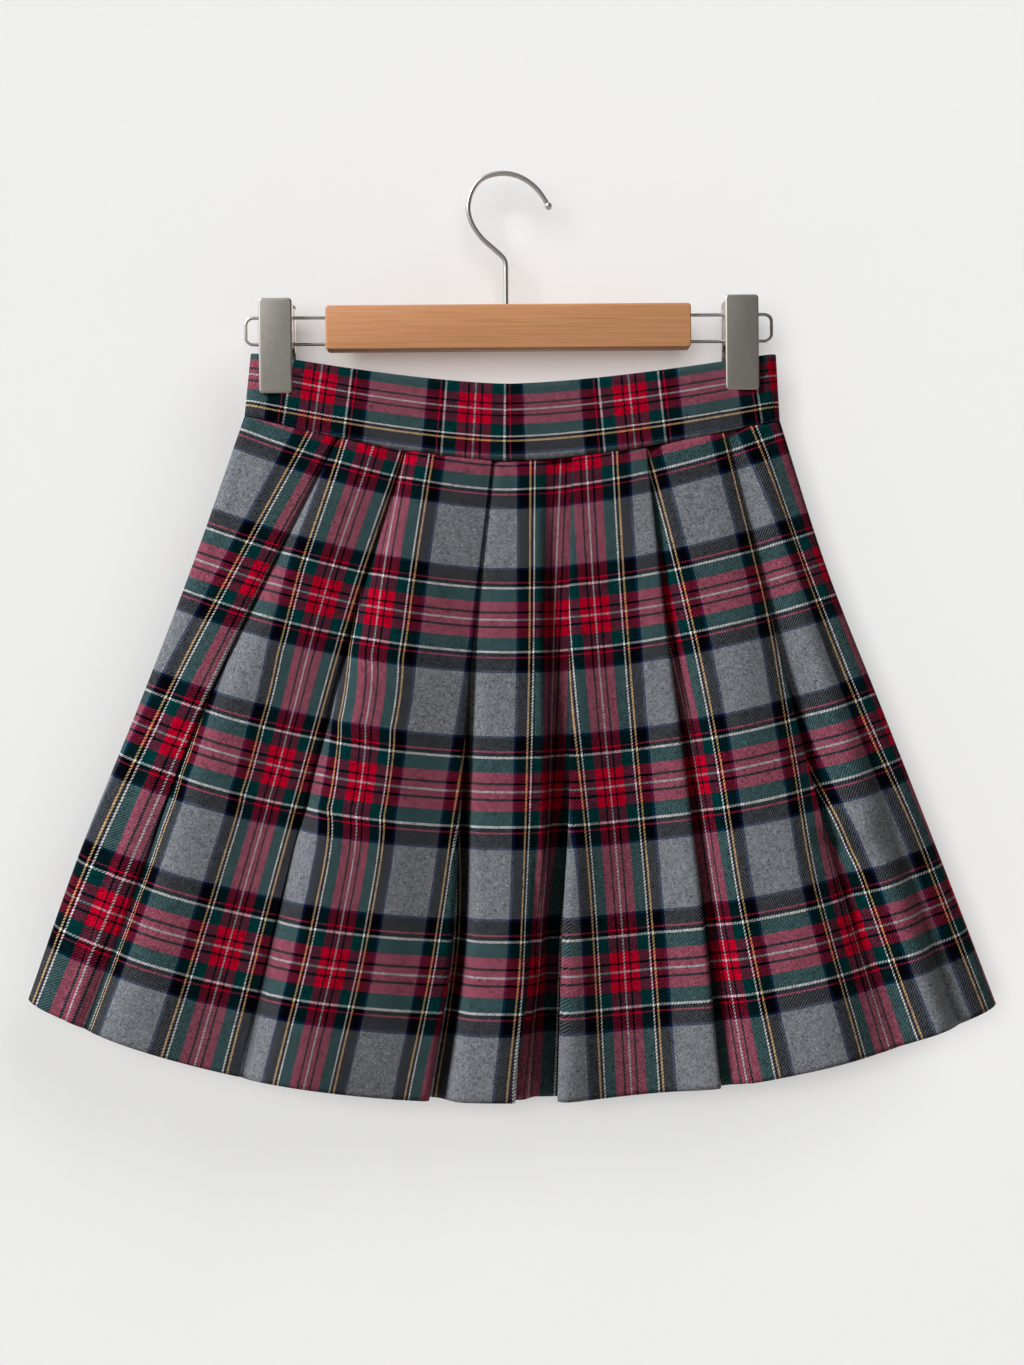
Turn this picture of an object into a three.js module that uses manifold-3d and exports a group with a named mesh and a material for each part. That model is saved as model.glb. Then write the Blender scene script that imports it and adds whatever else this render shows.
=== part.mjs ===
// A pleated tartan skirt held by its waistband in the two clips of a wooden hanger.
// Millimetres, +Z up, the front faces -Y. The origin is the inner top of the hook.
import * as THREE from 'three';
import { mergeVertices } from 'three/addons/utils/BufferGeometryUtils.js';
import Module from 'manifold-3d';

const wasm = await Module();
wasm.setup();

// ---------------------------------------------------------------- driving dimensions
const gap = 0.3; // between pieces that touch

const cloth = { wall: 1.2, rows: 11, panelSteps: 4, turnSteps: 3, sideSteps: 3 };
const stations = [0, 0.25, 0.5, 0.75, 1]; // waist seam to hem, for every list of five below

// Half outlines of the skirt at the five stations, and how far each half stands off the
// plane of the side seams at its middle and beside the seams.
const skirt = {
  left: [-171, -204, -240, -278, -311],
  right: [177, 207, 244, 281, 317],
  sideDepth: [5, 6, 7, 9, 10],
  sideRound: [10, 14, 18, 24, 28],
};
const frontDepth = [12, 18, 25, 32, 39];
const backDepth = [11, 14, 17, 20, 22];

// Edges that run across: height at the middle, rise to the left and right side, and how
// late the curve turns up.
const bandTop = { middle: -137.3, riseLeft: 21, riseRight: 20.5, power: 1.5 };
const waistSeam = { middle: -186.7, riseLeft: 30.2, riseRight: 27.3, power: 1.6 };
const hem = { middle: -595.5, riseLeft: 61.5, riseRight: 58.5, power: 2.15 };

// One row for each pleat, left to right. edge: the fold that shows; lap: how far the cloth
// doubles back under it; turn: degrees the cloth turns there (180 is folded flat, less is a
// soft step); step: how far the layer under it lies behind. opens: the side it opens to.
const frontPleats = [
  { opens: 1, edge: [-111, -158, -201, -237, -272], lap: [18, 16, 9, 2, 3],
    turn: [180, 180, 176, 62, 30], step: [4, 5, 8, 8, 5] },
  { opens: 1, edge: [-67, -97, -122, -147, -171], lap: [18, 18, 8, 3, 3],
    turn: [180, 180, 180, 105, 55], step: [4, 5, 8, 9, 8] },
  { opens: 1, edge: [-10, -21, -29, -35, -50], lap: [18, 20, 17, 9, 5],
    turn: [180, 180, 180, 180, 178], step: [4, 7, 10, 13, 14] },
  { opens: 1, edge: [18, 18, 17, 14, 4.5], lap: [0, 0, 0, 1, 3],
    turn: [8, 8, 8, 35, 165], step: [0.2, 0.2, 0.3, 2.5, 9] },
  { opens: -1, edge: [42, 40, 40, 35, 32], lap: [18, 20, 17, 12, 6],
    turn: [180, 180, 180, 180, 180], step: [4, 7, 11, 16, 22] },
  { opens: 1, edge: [89, 100, 113, 125, 135], lap: [16, 18, 12, 8, 4],
    turn: [180, 180, 180, 180, 175], step: [4, 6, 9, 11, 10] },
  { opens: 1, edge: [139, 159, 182, 207, 240], lap: [16, 18, 12, 3, 3],
    turn: [180, 180, 174, 50, 28], step: [4, 6, 9, 9, 5] },
];
const backPleats = [
  { opens: -1, edge: [-112, -140, -176, -210, -236], lap: [17, 15, 9, 3, 3],
    turn: [180, 180, 172, 75, 32], step: [4, 5, 7, 8, 5] },
  { opens: -1, edge: [-58, -74, -92, -111, -130], lap: [17, 17, 13, 8, 4],
    turn: [180, 180, 180, 178, 160], step: [4, 5, 7, 8, 8] },
  { opens: 1, edge: [-22, -27, -32, -36, -42], lap: [17, 17, 14, 9, 6],
    turn: [180, 180, 180, 180, 178], step: [4, 6, 8, 10, 11] },
  { opens: -1, edge: [27, 31, 35, 41, 46], lap: [17, 17, 14, 10, 6],
    turn: [180, 180, 180, 180, 178], step: [4, 6, 8, 10, 11] },
  { opens: 1, edge: [70, 87, 104, 119, 137], lap: [16, 16, 11, 6, 3],
    turn: [180, 180, 180, 172, 120], step: [4, 5, 7, 8, 8] },
  { opens: 1, edge: [117, 144, 175, 209, 238], lap: [16, 15, 10, 3, 3],
    turn: [180, 180, 174, 80, 34], step: [4, 5, 7, 8, 5] },
];

// One row for each panel between pleats: how far it bows outwards at the waist and hem, how
// fast it comes up from under its neighbour, and 1 where it stays sunk between two others.
const frontPanels = [
  { bowWaist: 0.4, bowHem: 3.5, rise: 14, sunk: 0 },
  { bowWaist: 0.3, bowHem: 4, rise: 14, sunk: 0 },
  { bowWaist: 0.4, bowHem: 5, rise: 14, sunk: 0 },
  { bowWaist: 0.2, bowHem: 11, rise: 14, sunk: 1 },
  { bowWaist: 0.1, bowHem: 1, rise: 14, sunk: 1 },
  { bowWaist: 0.4, bowHem: 5, rise: 14, sunk: 0 },
  { bowWaist: 0.3, bowHem: 4.5, rise: 12, sunk: 0 },
  { bowWaist: 0.3, bowHem: 3.5, rise: 14, sunk: 0 },
];
const backPanels = [
  { bowWaist: 0.3, bowHem: 3, rise: 14, sunk: 0 },
  { bowWaist: 0.3, bowHem: 3.5, rise: 14, sunk: 0 },
  { bowWaist: 0.4, bowHem: 4, rise: 12, sunk: 0 },
  { bowWaist: 0.2, bowHem: 2, rise: 14, sunk: 1 },
  { bowWaist: 0.4, bowHem: 4, rise: 12, sunk: 0 },
  { bowWaist: 0.3, bowHem: 3.5, rise: 14, sunk: 0 },
  { bowWaist: 0.3, bowHem: 3, rise: 14, sunk: 0 },
];
const riseGrowth = 46; // a panel comes up more slowly towards the hem

// The band is doubled cloth; proud is how far its face stands before the pleats' faces.
const band = { wall: 3, proud: 0.8, steps: 22, rows: 3, topLeft: -167, topRight: 174.5 };

const hanger = { tilt: 0.42 }; // degrees, the right end is the higher one
const bar = { left: -118.6, right: 118, top: -84.6, height: 28.7, depth: 14, corner: 2, bevel: 1 };
const hook = { wire: 3.5, sides: 10, steps: 54, socket: 14, ball: 5.2 };
const rail = { wire: 2.3, sides: 8, outer: 172, top: -91.4, drop: 17.2, bend: 4.2, socket: 12 };
const clip = { x: 150.3, width: 21.4, top: -80.6, height: 61.4, corner: 2.2, sheet: 1.2,
  flangeTop: -84, flangeBottom: -113, spring: 7.4, springLength: 16.6 };
const pad = { width: 17, height: 13, thick: 1.5, lift: 2 };

// The hook's centre line, from its free end over the top and down the shank: x and z.
const hookRoute = [
  [26.2, -19.4], [20.6, -10.6], [12.7, -3.4], [2.9, 0.9], [-7.7, 1.2], [-17.2, -2.4],
  [-23.3, -10.4], [-25.7, -20.9], [-23.3, -30.9], [-17.2, -40.1], [-9, -47.7],
  [-3.2, -53.2], [-1.6, -57.5],
];
const shankX = -1.5;

const finish = {
  flannel: { color: 0x6e3a46, roughness: 0.92, metalness: 0 },
  flannelDark: { color: 0x4d5560, roughness: 0.92, metalness: 0 },
  beech: { color: 0xc08a5c, roughness: 0.5, metalness: 0 },
  nickel: { color: 0xa8a49c, roughness: 0.35, metalness: 1 },
  rubber: { color: 0x8f8c88, roughness: 0.8, metalness: 0 },
};

// ---------------------------------------------------------------- small helpers
const lerp = (a, b, s) => a + (b - a) * s;
const ease = (q) => (q >= 1 ? 0 : Math.cos((q * Math.PI) / 2) ** 2);

// A smooth value from a list with one number for each station. It never overshoots.
function along(list, t) {
  const last = stations.length - 2;
  const i = Math.min(last, Math.max(0, Math.floor(t * (last + 1))));
  const span = stations[i + 1] - stations[i];
  const slope = (k) => {
    if (k <= 0) return (list[1] - list[0]) / span;
    if (k > last) return (list[last + 1] - list[last]) / span;
    const before = (list[k] - list[k - 1]) / span;
    const after = (list[k + 1] - list[k]) / span;
    return before * after <= 0 ? 0 : (2 * before * after) / (before + after);
  };
  const s = (t - stations[i]) / span;
  const rest = 1 - s;
  return list[i] * (1 + 2 * s) * rest ** 2 + list[i + 1] * (3 - 2 * s) * s ** 2
    + span * (slope(i) * s * rest ** 2 - slope(i + 1) * rest * s ** 2);
}

// Height of an edge that runs across, at x, for a garment from left to right there.
function acrossHeight(edge, x, left, right) {
  const side = x < 0 ? Math.min(1, x / left) : Math.min(1, x / right);
  const rise = x < 0 ? edge.riseLeft : edge.riseRight;
  return edge.middle + rise * side ** edge.power;
}

// How far the cloth stands off the plane of the seams: full in the middle, and round
// within sideRound of each side.
function standOff(depth, x, t) {
  const left = along(skirt.left, t);
  const right = along(skirt.right, t);
  const middle = (left + right) / 2;
  const share = Math.min(1, Math.abs(x - middle) / ((right - left) / 2));
  const beside = along(skirt.sideDepth, t);
  return beside + (along(depth, t) - beside) * (1 - share ** 2) ** 1.2;
}

// ---------------------------------------------------------------- the pleated wall
// One pleat across: the cloth turns back, lies doubled for its lap and turns forward again.
// Points are [x, how far behind the panel in front], in order from left to right.
function pleatSection(pleat, t) {
  const turn = THREE.MathUtils.degToRad(along(pleat.turn, t));
  const lap = along(pleat.lap, t);
  const step = along(pleat.step, t);
  const radius = Math.max(0.1, (step - lap * Math.sin(turn)) / (2 * (1 - Math.cos(turn))));
  const start = -radius * Math.sin(Math.min(turn, Math.PI / 2));
  const points = [];
  for (let i = 0; i <= cloth.turnSteps; i += 1) {
    const a = (turn * i) / cloth.turnSteps;
    points.push([start + radius * Math.sin(a), radius * (1 - Math.cos(a))]);
  }
  const [endX, endY] = points.at(-1);
  const nextX = endX + lap * Math.cos(turn);
  const nextY = endY + lap * Math.sin(turn);
  for (let i = 0; i <= cloth.turnSteps; i += 1) {
    const a = turn - (turn * i) / cloth.turnSteps;
    points.push([
      nextX + radius * (Math.sin(turn) - Math.sin(a)),
      nextY + radius * (Math.cos(a) - Math.cos(turn)),
    ]);
  }
  const edge = along(pleat.edge, t);
  const placed = points.map(([x, y]) => [edge + pleat.opens * x, y]);
  return pleat.opens > 0 ? placed : placed.reverse();
}

// The centre line of one half of the skirt at station t: [x, stand-off], left to right.
function halfSection(pleats, panels, depth, t) {
  const left = along(skirt.left, t) + cloth.wall / 2;
  const right = along(skirt.right, t) - cloth.wall / 2;
  const round = along(skirt.sideRound, t);
  const folds = pleats.map((pleat) => pleatSection(pleat, t));
  const line = [];
  const sideCurve = (x, inward, s) => {
    const a = (s * Math.PI) / 2;
    const off = standOff(depth, x + inward * round, t);
    return [x + inward * round * (1 - Math.cos(a)), gap / 2 + (off - gap / 2) * Math.sin(a)];
  };
  for (let i = 0; i < cloth.sideSteps; i += 1) line.push(sideCurve(left, 1, i / cloth.sideSteps));
  panels.forEach((panel, k) => {
    const from = k === 0 ? [left + round, 0] : folds[k - 1].at(-1);
    const to = k === panels.length - 1 ? [right - round, 0] : folds[k][0];
    const width = to[0] - from[0];
    const rise = Math.min(0.62, (panel.rise + riseGrowth * t) / width);
    const floor = (panel.sunk * (from[1] + to[1])) / 2;
    const bow = lerp(panel.bowWaist, panel.bowHem, t ** 1.3);
    const firstStep = k === 0 ? 0 : 1;
    for (let i = firstStep; i < cloth.panelSteps; i += 1) {
      const s = i / cloth.panelSteps;
      const behind = floor + (from[1] - floor) * ease(s / rise)
        + (to[1] - floor) * ease((1 - s) / rise);
      const x = lerp(from[0], to[0], s);
      line.push([x, standOff(depth, x, t) - behind + bow * Math.sin(Math.PI * s) ** 1.2]);
    }
    if (k < folds.length) {
      for (const [x, behind] of folds[k]) line.push([x, standOff(depth, x, t) - behind]);
    }
  });
  for (let i = cloth.sideSteps; i >= 0; i -= 1) line.push(sideCurve(right, -1, i / cloth.sideSteps));
  return line;
}

// Both faces of a wall from its centre line, moved out and in along the line's own normals.
// At the side seams the line runs straight from one half to the other.
function wallFaces(line, wall) {
  const direction = (a, b) => {
    const length = Math.hypot(b[0] - a[0], b[1] - a[1]) || 1;
    return [(b[0] - a[0]) / length, (b[1] - a[1]) / length];
  };
  return line.map((point, i) => {
    const first = i === 0;
    const last = i === line.length - 1;
    const a = first ? [0, 1] : last ? [0, -1] : direction(line[i - 1], point);
    const b = first || last ? a : direction(point, line[i + 1]);
    const nx = -(a[1] + b[1]);
    const ny = a[0] + b[0];
    const length = Math.hypot(nx, ny) || 1;
    const bend = Math.max(0.5, Math.hypot(a[0] + b[0], a[1] + b[1]) / 2);
    const reach = wall / 2 / bend;
    const shift = [(nx / length) * reach, (ny / length) * reach];
    return {
      outer: [point[0] + shift[0], point[1] + shift[1]],
      inner: [point[0] - shift[0], point[1] - shift[1]],
    };
  });
}

// Closes two grids of points (rows of equal length) into one wall. facing is -1 for a half
// whose outer face looks to -Y and +1 for the other.
function closedWall(outerRows, innerRows, facing) {
  const columns = outerRows[0].length;
  const rows = outerRows.length;
  const vertices = [...outerRows.flat(), ...innerRows.flat()].flat();
  const outer = (r, c) => r * columns + c;
  const inner = (r, c) => (rows + r) * columns + c;
  const index = [];
  const quad = (a, b, c, d) => {
    if (facing < 0) index.push(a, b, c, a, c, d);
    else index.push(a, c, b, a, d, c);
  };
  for (let r = 0; r < rows - 1; r += 1) {
    for (let c = 0; c < columns - 1; c += 1) {
      quad(outer(r + 1, c), outer(r + 1, c + 1), outer(r, c + 1), outer(r, c));
      quad(inner(r, c), inner(r, c + 1), inner(r + 1, c + 1), inner(r + 1, c));
    }
    quad(inner(r + 1, 0), outer(r + 1, 0), outer(r, 0), inner(r, 0));
    const end = columns - 1;
    quad(outer(r + 1, end), inner(r + 1, end), inner(r, end), outer(r, end));
  }
  for (let c = 0; c < columns - 1; c += 1) {
    quad(outer(0, c), outer(0, c + 1), inner(0, c + 1), inner(0, c));
    quad(inner(rows - 1, c), inner(rows - 1, c + 1), outer(rows - 1, c + 1), outer(rows - 1, c));
  }
  const geometry = new THREE.BufferGeometry();
  geometry.setAttribute('position', new THREE.Float32BufferAttribute(vertices, 3));
  geometry.setIndex(index);
  return geometry;
}

function skirtHalf(pleats, panels, depth, facing) {
  const outerRows = [];
  const innerRows = [];
  for (let r = 0; r < cloth.rows; r += 1) {
    const t = r / (cloth.rows - 1);
    const left = along(skirt.left, t);
    const right = along(skirt.right, t);
    const height = (x) => {
      const top = acrossHeight(waistSeam, x, left, right) - gap / 2;
      return lerp(top, acrossHeight(hem, x, left, right), t);
    };
    const faces = wallFaces(halfSection(pleats, panels, depth, t), cloth.wall);
    outerRows.push(faces.map(({ outer: [x, y] }) => [x, facing * y, height(x)]));
    innerRows.push(faces.map(({ inner: [x, y] }) => [x, facing * y, height(x)]));
  }
  return closedWall(outerRows, innerRows, facing);
}

// ---------------------------------------------------------------- the waistband
function bandHalf(depth, facing) {
  const outerRows = [];
  const innerRows = [];
  for (let r = 0; r < band.rows; r += 1) {
    const t = r / (band.rows - 1);
    const left = lerp(band.topLeft, skirt.left[0], t) + band.wall / 2;
    const right = lerp(band.topRight, skirt.right[0], t) - band.wall / 2;
    const round = skirt.sideRound[0];
    const set = band.proud + cloth.wall / 2 - band.wall / 2;
    const line = [];
    for (let i = 0; i <= band.steps; i += 1) {
      const nearSide = Math.min(i, band.steps - i);
      const inward = i * 2 < band.steps ? 1 : -1;
      const side = inward > 0 ? left : right;
      if (nearSide < cloth.sideSteps) {
        const a = (nearSide / cloth.sideSteps) * (Math.PI / 2);
        const off = standOff(depth, side + inward * round, 0) + set - gap / 2;
        line.push([side + inward * round * (1 - Math.cos(a)), gap / 2 + off * Math.sin(a)]);
      } else {
        const s = (i - cloth.sideSteps) / (band.steps - 2 * cloth.sideSteps);
        const x = lerp(left + round, right - round, s);
        line.push([x, standOff(depth, x, 0) + set]);
      }
    }
    const height = (x) => {
      const top = acrossHeight(bandTop, x, left, right);
      return lerp(top, acrossHeight(waistSeam, x, left, right) + gap / 2, t);
    };
    const faces = wallFaces(line, band.wall);
    outerRows.push(faces.map(({ outer: [x, y] }) => [x, facing * y, height(x)]));
    innerRows.push(faces.map(({ inner: [x, y] }) => [x, facing * y, height(x)]));
  }
  return closedWall(outerRows, innerRows, facing);
}

// ---------------------------------------------------------------- the hanger
function toSolid(geometry) {
  const plain = geometry.clone();
  plain.deleteAttribute('normal');
  plain.deleteAttribute('uv');
  const merged = mergeVertices(plain, 1e-4);
  return new wasm.Manifold(new wasm.Mesh({
    numProp: 3,
    vertProperties: new Float32Array(merged.attributes.position.array),
    triVerts: new Uint32Array(merged.index.array),
  }));
}

function toGeometry(solid) {
  const mesh = solid.getMesh();
  const geometry = new THREE.BufferGeometry();
  geometry.setAttribute('position', new THREE.Float32BufferAttribute(mesh.vertProperties, 3));
  geometry.setIndex([...mesh.triVerts]);
  return geometry;
}

function roundedRectangle(width, height, radius) {
  const shape = new THREE.Shape();
  const x = width / 2 - radius;
  const y = height / 2 - radius;
  shape.absarc(x, y, radius, 0, Math.PI / 2);
  shape.absarc(-x, y, radius, Math.PI / 2, Math.PI);
  shape.absarc(-x, -y, radius, Math.PI, 1.5 * Math.PI);
  shape.absarc(x, -y, radius, 1.5 * Math.PI, 2 * Math.PI);
  return shape;
}

function wireAlong(path, diameter, sides, steps) {
  const section = new THREE.Shape();
  for (let i = 0; i <= sides; i += 1) {
    const a = (i / sides) * 2 * Math.PI;
    const x = (diameter / 2) * Math.cos(a);
    const y = (diameter / 2) * Math.sin(a);
    if (i === 0) section.moveTo(x, y);
    else section.lineTo(x, y);
  }
  return new THREE.ExtrudeGeometry(section, { steps, extrudePath: path, bevelEnabled: false });
}

function boreAlongX(diameter, length, x, z) {
  return new THREE.CylinderGeometry(diameter / 2, diameter / 2, length, 12)
    .rotateZ(Math.PI / 2).translate(x, 0, z);
}

function barGeometry() {
  const width = bar.right - bar.left;
  const face = roundedRectangle(width - 2 * bar.bevel, bar.height - 2 * bar.bevel, bar.corner);
  const blank = new THREE.ExtrudeGeometry(face, {
    depth: bar.depth - 2 * bar.bevel,
    bevelSize: bar.bevel,
    bevelThickness: bar.bevel,
    bevelSegments: 2,
    curveSegments: 3,
  });
  blank.rotateX(Math.PI / 2);
  blank.translate((bar.left + bar.right) / 2, bar.depth / 2 - bar.bevel, bar.top - bar.height / 2);
  let solid = toSolid(blank);
  const hookBore = new THREE.CylinderGeometry(hook.wire / 2 + gap, hook.wire / 2 + gap,
    2 * hook.socket, 12).rotateX(Math.PI / 2).translate(shankX, 0, bar.top);
  solid = solid.subtract(toSolid(hookBore));
  for (const end of [bar.left, bar.right]) {
    for (const z of [rail.top, rail.top - rail.drop]) {
      const bore = boreAlongX(rail.wire + 2 * gap, 2 * (rail.socket + gap), end, z);
      solid = solid.subtract(toSolid(bore));
    }
  }
  return toGeometry(solid);
}

function hookGeometry() {
  const points = hookRoute.map(([x, z]) => new THREE.Vector3(x, 0, z));
  const foot = bar.top - hook.socket + gap;
  for (const z of [-63, -72, foot]) points.push(new THREE.Vector3(shankX, 0, z));
  return wireAlong(new THREE.CatmullRomCurve3(points), hook.wire, hook.sides, hook.steps);
}

function hookTipGeometry() {
  const [endX, endZ] = hookRoute[0];
  const [beforeX, beforeZ] = hookRoute[1];
  const length = Math.hypot(endX - beforeX, endZ - beforeZ);
  const reach = hook.ball / 2 + gap;
  return new THREE.SphereGeometry(hook.ball / 2, 12, 8).translate(
    endX + ((endX - beforeX) / length) * reach, 0, endZ + ((endZ - beforeZ) / length) * reach,
  );
}

// A loop of wire that leaves the end of the bar, turns down and comes back to it.
function railGeometry(side) {
  const inner = (side < 0 ? -bar.left : bar.right) - rail.socket;
  const outer = rail.outer - rail.wire / 2;
  const low = rail.top - rail.drop;
  const at = (x, z) => new THREE.Vector3(side * x, 0, z);
  const path = new THREE.CurvePath();
  path.add(new THREE.LineCurve3(at(inner, rail.top), at(outer - rail.bend, rail.top)));
  path.add(new THREE.QuadraticBezierCurve3(at(outer - rail.bend, rail.top), at(outer, rail.top),
    at(outer, rail.top - rail.bend)));
  path.add(new THREE.LineCurve3(at(outer, rail.top - rail.bend), at(outer, low + rail.bend)));
  path.add(new THREE.QuadraticBezierCurve3(at(outer, low + rail.bend), at(outer, low),
    at(outer - rail.bend, low)));
  path.add(new THREE.LineCurve3(at(outer - rail.bend, low), at(inner, low)));
  return wireAlong(path, rail.wire, rail.sides, 44);
}

// The band's outer face where the clips bite, from the plane of the seams.
const grip = standOff(frontDepth, clip.x - clip.width / 2, 0) + band.proud + cloth.wall / 2;
const plateInner = grip + pad.thick + 2 * gap;

// A pressed plate with its corners rounded and a flange down each side above the band.
function clipPlateGeometry(x, facing) {
  const plate = new THREE.ExtrudeGeometry(roundedRectangle(clip.width, clip.height, clip.corner), {
    depth: clip.sheet,
    bevelEnabled: false,
    curveSegments: 3,
  });
  plate.rotateX(Math.PI / 2);
  plate.translate(0, -plateInner, clip.top - clip.height / 2);
  let solid = toSolid(plate);
  const reach = plateInner - rail.wire / 2 - gap;
  for (const side of [-1, 1]) {
    const flange = new THREE.BoxGeometry(clip.sheet, reach + clip.sheet / 2,
      clip.flangeTop - clip.flangeBottom);
    flange.translate(side * (clip.width / 2 - clip.sheet / 2),
      -plateInner + reach / 2 - clip.sheet / 4, (clip.flangeTop + clip.flangeBottom) / 2);
    solid = solid.add(toSolid(flange));
  }
  const geometry = toGeometry(solid);
  if (facing > 0) geometry.rotateZ(Math.PI);
  return geometry.translate(x, 0, 0);
}

function clipPadGeometry(x, facing) {
  const face = roundedRectangle(pad.width, pad.height, 1.5);
  const geometry = new THREE.ExtrudeGeometry(face, {
    depth: pad.thick,
    bevelEnabled: false,
    curveSegments: 2,
  });
  geometry.rotateX(Math.PI / 2);
  geometry.translate(0, -grip - gap, clip.top - clip.height + pad.height / 2 + pad.lift);
  if (facing > 0) geometry.rotateZ(Math.PI);
  return geometry.translate(x, 0, 0);
}

// The coil that keeps the jaws shut, round the lower wire of the rail.
function clipSpringGeometry(x) {
  const inner = rail.wire / 2 + gap;
  const outer = clip.spring / 2;
  const half = clip.springLength / 2;
  const profile = [[inner, -half], [outer, -half], [outer, half], [inner, half], [inner, -half]];
  const ring = new THREE.LatheGeometry(profile.map(([r, y]) => new THREE.Vector2(r, y)), 14);
  return ring.rotateZ(Math.PI / 2).translate(x, 0, rail.top - rail.drop);
}

// ---------------------------------------------------------------- the whole object
function piece(name, geometry, look) {
  const mesh = new THREE.Mesh(geometry, new THREE.MeshStandardMaterial(finish[look]));
  mesh.name = name;
  return mesh;
}

const garment = new THREE.Group();
garment.add(
  piece('skirt_front', skirtHalf(frontPleats, frontPanels, frontDepth, -1), 'flannel'),
  piece('skirt_back', skirtHalf(backPleats, backPanels, backDepth, 1), 'flannel'),
  piece('waistband_front', bandHalf(frontDepth, -1), 'flannelDark'),
  piece('waistband_back', bandHalf(backDepth, 1), 'flannelDark'),
);

const clipHanger = new THREE.Group();
clipHanger.rotation.y = THREE.MathUtils.degToRad(-hanger.tilt);
clipHanger.add(
  piece('hanger_bar', barGeometry(), 'beech'),
  piece('hanger_hook', hookGeometry(), 'nickel'),
  piece('hook_tip', hookTipGeometry(), 'nickel'),
);
for (const [end, side] of [['left', -1], ['right', 1]]) {
  const x = side * clip.x;
  clipHanger.add(
    piece(`rail_${end}`, railGeometry(side), 'nickel'),
    piece(`clip_${end}_front`, clipPlateGeometry(x, -1), 'nickel'),
    piece(`clip_${end}_back`, clipPlateGeometry(x, 1), 'nickel'),
    piece(`clip_${end}_pad_front`, clipPadGeometry(x, -1), 'rubber'),
    piece(`clip_${end}_pad_back`, clipPadGeometry(x, 1), 'rubber'),
    piece(`clip_${end}_spring`, clipSpringGeometry(x), 'nickel'),
  );
}

const part = new THREE.Group();
part.add(garment, clipHanger);

export default part;
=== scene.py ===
import math

import bpy
import bmesh
from mathutils import Matrix, Vector, noise


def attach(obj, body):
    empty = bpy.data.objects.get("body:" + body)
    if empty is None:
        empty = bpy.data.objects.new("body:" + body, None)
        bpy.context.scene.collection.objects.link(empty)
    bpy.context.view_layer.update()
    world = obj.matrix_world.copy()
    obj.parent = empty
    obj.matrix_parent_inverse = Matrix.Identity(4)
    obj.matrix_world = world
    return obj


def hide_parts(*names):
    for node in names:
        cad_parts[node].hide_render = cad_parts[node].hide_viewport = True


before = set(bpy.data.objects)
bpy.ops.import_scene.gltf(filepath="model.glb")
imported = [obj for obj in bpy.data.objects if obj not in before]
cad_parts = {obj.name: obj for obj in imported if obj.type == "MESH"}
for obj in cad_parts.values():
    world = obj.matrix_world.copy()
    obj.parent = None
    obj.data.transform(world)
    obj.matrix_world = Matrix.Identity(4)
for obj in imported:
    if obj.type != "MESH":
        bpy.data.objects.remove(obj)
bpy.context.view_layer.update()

# A pleated tartan skirt held by its waistband in the two clips of a wooden hanger.
# Sizes are in millimetres here and become metres where a mesh is made.
mm = 0.001

# The cut of the skirt.

stations = [0, 0.25, 0.5, 0.75, 1]  # waist seam to hem, for every list of five below


def table(columns, rows):
    return [dict(zip(columns, row)) for row in rows]


skirtForm = {
    "left": [-171, -204, -240, -278, -311],
    "right": [177, 207, 244, 281, 317],
    "sideDepth": [5, 6, 7, 9, 10],
    "sideRound": [10, 14, 18, 24, 28],
    "frontDepth": [12, 18, 24, 29, 33],
    "backDepth": [11, 14, 17, 20, 22],
    "squareness": 6,  # how late the depth falls away towards the side seams
    "thickness": 1.1,
    "seamGap": 0.3,
    "seamHold": 30,  # creases and ripple fade out this near a side seam
    "sewnFlat": 0.25,  # and over this share of the length below the waist
    "leastFold": 0.1,  # radius
    "mostRise": 0.62,  # of a panel's width
    "bowGrowth": 0.9,
    "bowRound": 1.2,
    "hemLift": 0.2,  # of how far a pleat leans out
    "hemDrop": 0.3,  # of that lift, where a pleat sinks in
    "rippleSeed": 3.7,
    "rows": 121,
    "panelSteps": 16,
    "turnSteps": 5,
    "lapSteps": 3,
    "sideSteps": 7,
}
crossLines = {
    "bandTop": {"middle": -137.3, "riseLeft": 21, "riseRight": 20.5, "power": 1.5},
    "bandPivot": {"middle": -154, "riseLeft": 24.5, "riseRight": 23.5, "power": 1.55},
    "waistSeam": {"middle": -186.7, "riseLeft": 30.2, "riseRight": 27.3, "power": 1.6},
    "hem": {"middle": -595.5, "riseLeft": 61.5, "riseRight": 58.5, "power": 2.15},
}

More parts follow.
